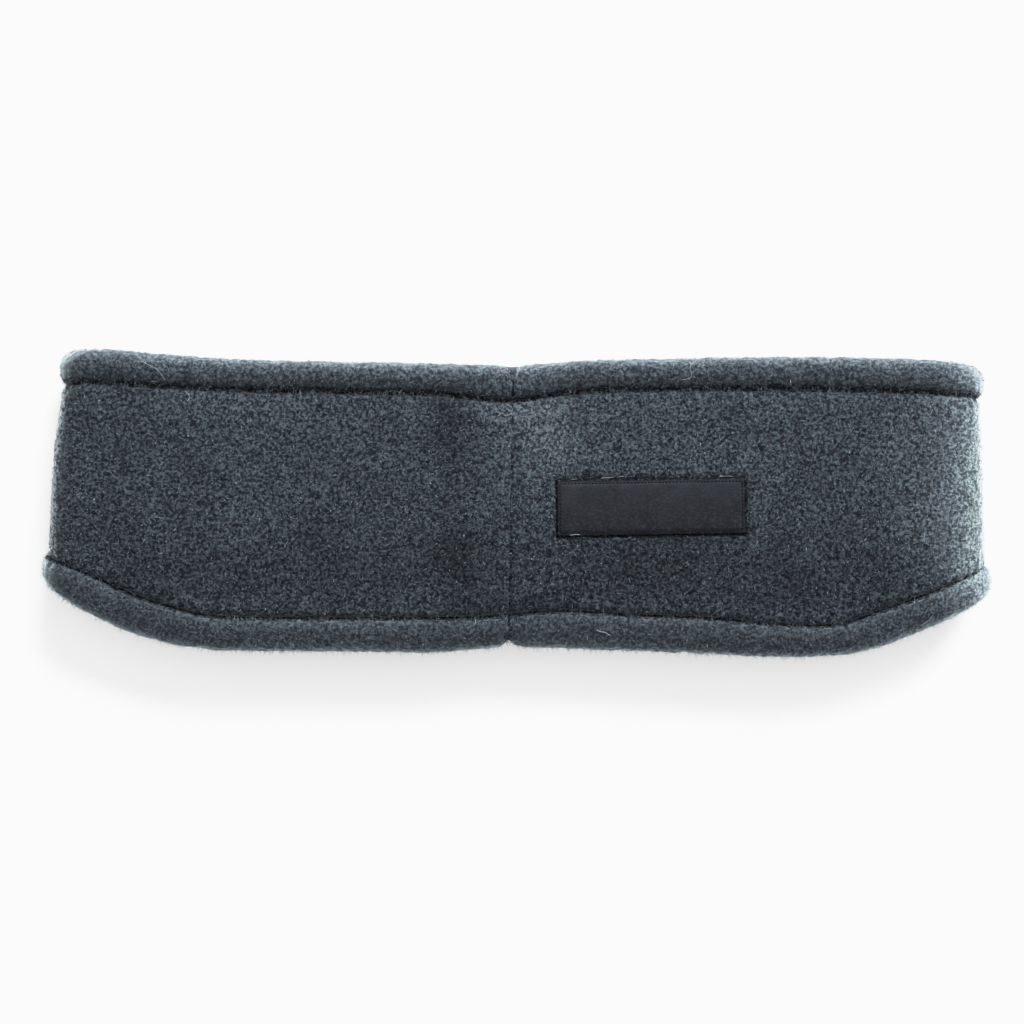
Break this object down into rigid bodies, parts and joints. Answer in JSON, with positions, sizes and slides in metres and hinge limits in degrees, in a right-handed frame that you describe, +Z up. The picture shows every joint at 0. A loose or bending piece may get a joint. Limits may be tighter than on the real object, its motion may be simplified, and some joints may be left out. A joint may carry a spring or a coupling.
{
  "type": "fleece headband",
  "caption": "Contoured fleece headband laid flat: a soft seamed loop with a turned, stitched hem round each edge and a bare woven label beside the centre back seam",
  "frame": {"origin": "on the surface that the laid band rests on, under the middle of its outline", "axes": "+X along the band to the right, +Y to the top edge, +Z up from the surface; the seam and label face +Z"},
  "size_m": [0.2704, 0.088, 0.0217],
  "materials": {
    "fleece": "matte pebbled pile",
    "label": "satin weave"
  },
  "bodies": {
    "root": {"fleece_band": "fleece", "top_hem": "fleece", "bottom_hem": "fleece", "woven_label": "label"}
  },
  "joints": []
}
